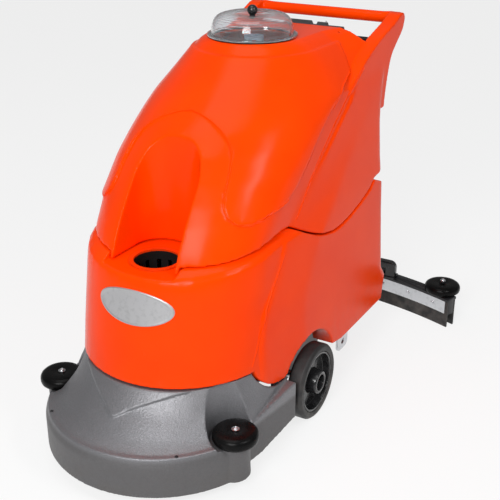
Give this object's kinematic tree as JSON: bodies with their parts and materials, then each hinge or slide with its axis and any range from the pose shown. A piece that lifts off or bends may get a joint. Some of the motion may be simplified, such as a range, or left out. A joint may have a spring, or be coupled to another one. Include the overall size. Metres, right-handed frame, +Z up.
{
  "type": "wet dry floor scrubber",
  "caption": "Walk-behind wet and dry floor scrubber: silver brush deck, orange solution tank, tilting orange recovery tank with moulded handle, and a curved rear squeegee.",
  "frame": {"origin": "on the floor, under the middle of the machine's outer box", "axes": "+X to the machine's left, +Y to its rear where the operator walks, +Z up"},
  "size_m": [0.88, 1.2976, 1],
  "materials": {
    "orange_plastic": "gloss",
    "silver_casting": "satin",
    "black_plastic": "gloss",
    "dark_plastic": "matte",
    "black_rubber": "matte",
    "tyre_rubber": "matte",
    "blade_rubber": "matte",
    "dark_steel": "satin",
    "plated_steel": "satin",
    "gear_aluminium": "satin",
    "blue_plastic": "matte",
    "bristle_nylon": "matte",
    "clear_plastic": "clear",
    "grey_plastic": "satin",
    "white_plastic": "matte",
    "red_plastic": "gloss"
  },
  "bodies": {
    "base": {"chassis_frame": "dark_steel", "deck_cover": "silver_casting", "bumper_bolts": "plated_steel", "solution_tank": "orange_plastic", "axle": "plated_steel", "axle_washers": "plated_steel", "battery_front": "dark_plastic", "battery_rear": "dark_plastic", "hinge_brackets": "plated_steel", "hinge_pins": "plated_steel", "guide_posts": "plated_steel", "solution_valve": "black_plastic", "castor_plates": "plated_steel"},
    "wheel_left": {"wheel_hub_left": "black_plastic", "tyre_left": "tyre_rubber"},
    "wheel_right": {"wheel_hub_right": "black_plastic", "tyre_right": "tyre_rubber"},
    "castor_left": {"castor_fork_left": "plated_steel"},
    "castor_right": {"castor_fork_right": "plated_steel"},
    "castor_wheel_l": {"castor_wheel_left": "black_rubber"},
    "castor_wheel_r": {"castor_wheel_right": "black_rubber"},
    "bumper_left": {"bumper_roller_left": "black_rubber"},
    "bumper_right": {"bumper_roller_right": "black_rubber"},
    "brush_head": {"brush_carrier": "dark_steel", "brush_motor": "dark_steel", "brush_gearbox": "gear_aluminium"},
    "brush": {"drive_hub": "plated_steel", "brush_plate": "blue_plastic", "brush_bristles": "bristle_nylon"},
    "pedal": {"lift_pedal": "plated_steel"},
    "recovery": {"recovery_tank": "orange_plastic", "hinge_lugs": "plated_steel", "lid_gasket": "black_rubber", "suction_pipe": "grey_plastic", "vacuum_motor": "dark_plastic", "motor_clamp": "plated_steel", "hose_inlet": "black_plastic", "drain_outlet": "black_plastic", "control_panel": "dark_plastic", "battery_gauge": "dark_plastic"},
    "float": {"float_ball": "white_plastic"},
    "cap": {"drain_cap": "red_plastic"},
    "lid": {"dome_lid": "clear_plastic", "lid_knob": "black_plastic"},
    "strainer": {"fill_strainer": "black_plastic"},
    "rocker_l": {"rocker_left": "black_plastic"},
    "rocker_m": {"rocker_middle": "black_plastic"},
    "rocker_r": {"rocker_right": "black_plastic"},
    "key": {"key_switch": "plated_steel"},
    "lever": {"deadman_lever": "black_plastic"},
    "pivot": {"squeegee_pivot": "dark_steel"},
    "squeegee": {"squeegee_arm": "dark_steel", "squeegee_yoke": "black_plastic", "squeegee_frame": "dark_steel", "squeegee_blades": "blade_rubber", "squeegee_strap": "plated_steel", "wing_knobs": "black_plastic"},
    "sq_roller_l": {"squeegee_roller_left": "black_rubber"},
    "sq_roller_r": {"squeegee_roller_right": "black_rubber"},
    "hand_lever": {"squeegee_lever": "plated_steel"}
  },
  "joints": [
    {"name": "wheel_left_spin", "type": "hinge", "parent": "base", "child": "wheel_left", "pos_m": [0.27, -0.0918, 0.1], "axis": [1, 0, 0], "continuous": true},
    {"name": "wheel_right_spin", "type": "hinge", "parent": "base", "child": "wheel_right", "pos_m": [-0.27, -0.0918, 0.1], "axis": [1, 0, 0], "continuous": true},
    {"name": "castor_left_swivel", "type": "hinge", "parent": "base", "child": "castor_left", "pos_m": [0.112, 0.2602, 0.12], "axis": [0, 0, 1], "continuous": true},
    {"name": "castor_left_spin", "type": "hinge", "parent": "castor_left", "child": "castor_wheel_l", "pos_m": [0.112, 0.2902, 0.045], "axis": [1, 0, 0], "continuous": true},
    {"name": "bumper_left_spin", "type": "hinge", "parent": "base", "child": "bumper_left", "pos_m": [0.253, -0.4418, 0.138], "axis": [0, 0, 1], "continuous": true},
    {"name": "squeegee_roller_left_spin", "type": "hinge", "parent": "squeegee", "child": "sq_roller_l", "pos_m": [0.386, 0.58517, 0.107], "axis": [0, 0, 1], "continuous": true},
    {"name": "castor_right_swivel", "type": "hinge", "parent": "base", "child": "castor_right", "pos_m": [-0.112, 0.2602, 0.12], "axis": [0, 0, 1], "continuous": true},
    {"name": "castor_right_spin", "type": "hinge", "parent": "castor_right", "child": "castor_wheel_r", "pos_m": [-0.112, 0.2902, 0.045], "axis": [1, 0, 0], "continuous": true},
    {"name": "bumper_right_spin", "type": "hinge", "parent": "base", "child": "bumper_right", "pos_m": [-0.253, -0.4418, 0.138], "axis": [0, 0, 1], "continuous": true},
    {"name": "squeegee_roller_right_spin", "type": "hinge", "parent": "squeegee", "child": "sq_roller_r", "pos_m": [-0.386, 0.58517, 0.107], "axis": [0, 0, 1], "continuous": true},
    {"name": "brush_head_lift", "type": "slide", "parent": "base", "child": "brush_head", "axis": [0, 0, 1], "range_m": [-0.038, 0]},
    {"name": "brush_spin", "type": "hinge", "parent": "brush_head", "child": "brush", "pos_m": [0, -0.3638, 0.06], "axis": [0, 0, 1], "continuous": true},
    {"name": "pedal_press", "type": "hinge", "parent": "base", "child": "pedal", "pos_m": [-0.12, 0.3742, 0.15], "axis": [1, 0, 0], "range_deg": [0, 25]},
    {"name": "recovery_tank_tilt", "type": "hinge", "parent": "base", "child": "recovery", "pos_m": [0, 0.3062, 0.52], "axis": [-1, 0, 0], "range_deg": [0, 27]},
    {"name": "lid_lift", "type": "slide", "parent": "recovery", "child": "lid", "axis": [0, 0, 1], "range_m": [0, 0.06]},
    {"name": "strainer_lift", "type": "slide", "parent": "base", "child": "strainer", "axis": [0, 0, 1], "range_m": [0, 0.08]},
    {"name": "float_rise", "type": "slide", "parent": "recovery", "child": "float", "axis": [0, 0, 1], "range_m": [0, 0.023]},
    {"name": "drain_cap_pull", "type": "slide", "parent": "recovery", "child": "cap", "axis": [0, 1, 0], "range_m": [0, 0.045]},
    {"name": "rocker_left_tip", "type": "hinge", "parent": "recovery", "child": "rocker_l", "pos_m": [0.046, 0.35432, 0.84216], "axis": [1, 0, 0], "range_deg": [0, 12]},
    {"name": "rocker_middle_tip", "type": "hinge", "parent": "recovery", "child": "rocker_m", "pos_m": [0, 0.35432, 0.84216], "axis": [1, 0, 0], "range_deg": [0, 12]},
    {"name": "rocker_right_tip", "type": "hinge", "parent": "recovery", "child": "rocker_r", "pos_m": [-0.046, 0.35432, 0.84216], "axis": [1, 0, 0], "range_deg": [0, 12]},
    {"name": "key_turn", "type": "hinge", "parent": "recovery", "child": "key", "pos_m": [0.082, 0.31251, 0.90846], "axis": [0, 0.7894, 0.6139], "range_deg": [0, 90]},
    {"name": "deadman_squeeze", "type": "hinge", "parent": "recovery", "child": "lever", "pos_m": [0, 0.4542, 0.89], "axis": [1, 0, 0], "range_deg": [0, 7.5], "stiffness_Nm_per_rad": 6, "springref_deg": -5.73},
    {"name": "squeegee_swing", "type": "hinge", "parent": "base", "child": "pivot", "pos_m": [0, 0.3332, 0.12], "axis": [0, 0, 1], "range_deg": [-10, 10]},
    {"name": "squeegee_lift", "type": "hinge", "parent": "pivot", "child": "squeegee", "pos_m": [0, 0.3702, 0.12], "axis": [1, 0, 0], "range_deg": [0, 9.5]},
    {"name": "hand_lever_pull", "type": "hinge", "parent": "base", "child": "hand_lever", "pos_m": [0.165, 0.4242, 0.15], "axis": [-1, 0, 0], "range_deg": [0, 24]}
  ],
  "couplings": [
    {"joint": "pedal_press", "follows": "brush_head_lift", "rad_per_m": -11.023},
    {"joint": "hand_lever_pull", "follows": "squeegee_lift", "ratio": 2.5}
  ]
}
